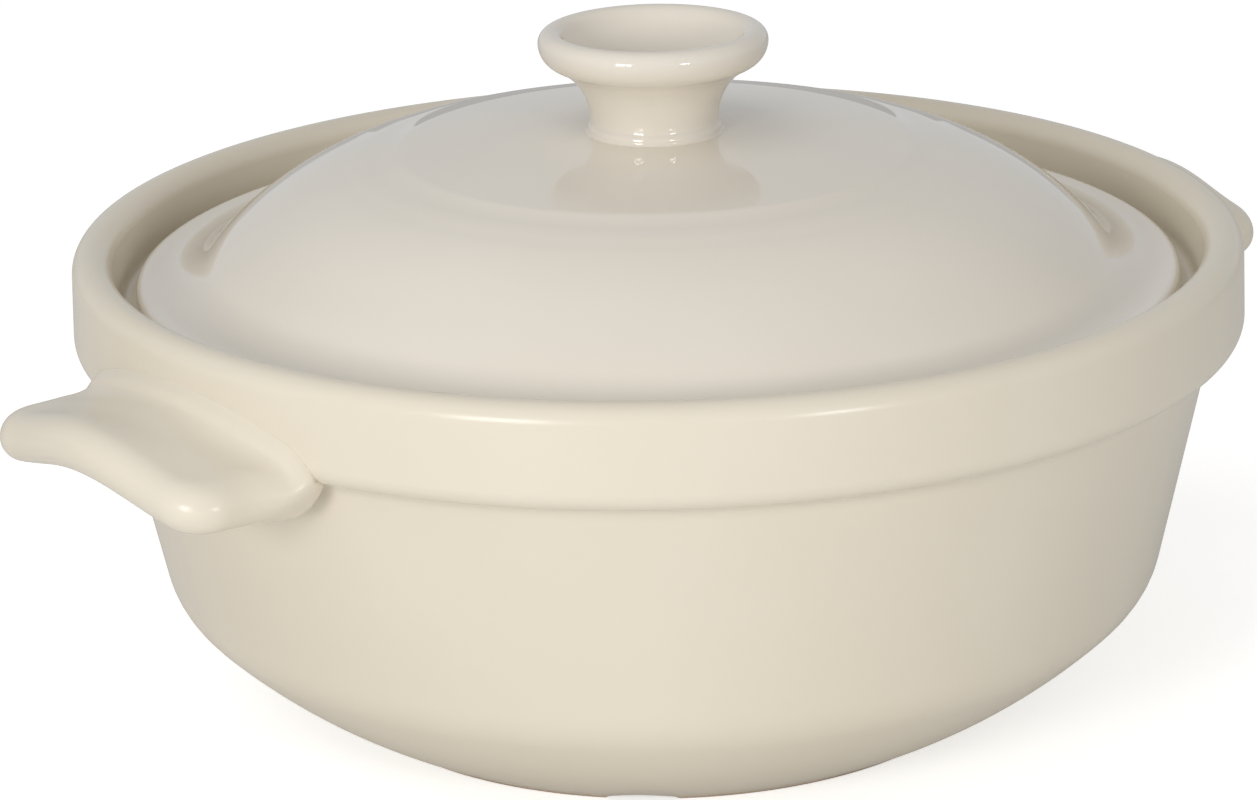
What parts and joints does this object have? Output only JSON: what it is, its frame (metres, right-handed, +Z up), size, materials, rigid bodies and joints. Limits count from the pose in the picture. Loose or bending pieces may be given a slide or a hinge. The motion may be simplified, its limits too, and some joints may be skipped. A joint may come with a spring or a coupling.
{
  "type": "clay pot",
  "caption": "Glazed stoneware cooking pot for the table: round bowl with a collar, lug handles and a notched foot ring, and a domed lift-off lid with a hollow trumpet knob.",
  "frame": {"origin": "on the table under the middle of the foot ring, the middle of the bottom of the bounding box", "axes": "+Z up along the axis of the bowl, +X towards the right handle when the front notch of the foot faces the viewer, -Y to the front"},
  "size_m": [0.3424, 0.2848, 0.1668],
  "materials": {
    "bowl_glaze": "cream satin glaze over stoneware",
    "lid_glaze": "pale grey-cream gloss glaze over stoneware"
  },
  "bodies": {
    "pot": {"bowl": "bowl_glaze", "handle_right": "bowl_glaze", "handle_left": "bowl_glaze"},
    "lid": {"lid": "lid_glaze", "knob": "lid_glaze"}
  },
  "joints": [
    {"name": "lid_lift", "type": "slide", "parent": "pot", "child": "lid", "axis": [0, 0, 1], "range_m": [0, 0.12]}
  ]
}
